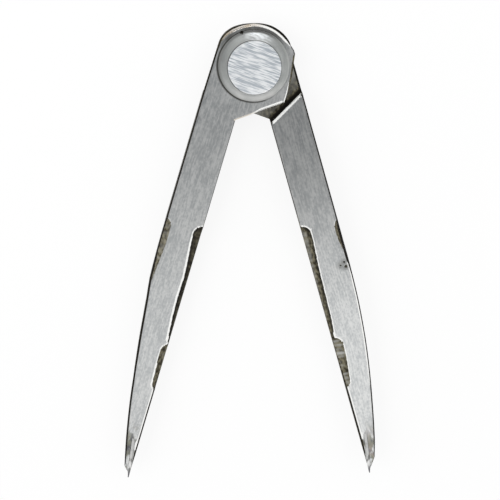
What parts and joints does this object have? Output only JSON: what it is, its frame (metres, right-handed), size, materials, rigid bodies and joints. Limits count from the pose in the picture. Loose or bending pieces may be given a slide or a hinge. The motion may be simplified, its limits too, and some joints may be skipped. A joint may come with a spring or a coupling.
{
  "type": "layout compass",
  "caption": "Firm-joint layout compass: forged steel legs lapped on a riveted friction pivot, opened by hand to step off distances and scribe arcs with hard brazed-in points.",
  "frame": {"origin": "on the pivot axis, on the flat face of the rear rivet head, on which the compass lies", "axes": "+X to the right across the legs, +Y from the points towards the head, +Z out of the front face along the pivot"},
  "size_m": [0.0874, 0.1584, 0.01],
  "materials": {
    "leg_steel": "forged, faces ground lengthwise, hollows left dark",
    "point_steel": "hardened, ground to a point, heat tinted",
    "rivet_steel": "ground flat with straight strokes",
    "washer_steel": "turned, dull",
    "friction_brass": "rolled sheet",
    "spring_steel": "blued sheet"
  },
  "bodies": {
    "front_half": {"front_leg": "leg_steel", "front_point": "point_steel", "pivot_rivet": "rivet_steel", "front_washer": "washer_steel", "rear_washer": "washer_steel", "friction_disc": "friction_brass", "disc_spring": "spring_steel"},
    "rear_half": {"rear_leg": "leg_steel", "rear_point": "point_steel"}
  },
  "joints": [
    {"name": "leg_pivot", "type": "hinge", "parent": "front_half", "child": "rear_half", "pos_m": [0, 0, 0.00502], "axis": [0, 0, 1], "range_deg": [-32.7, 147.6]}
  ]
}
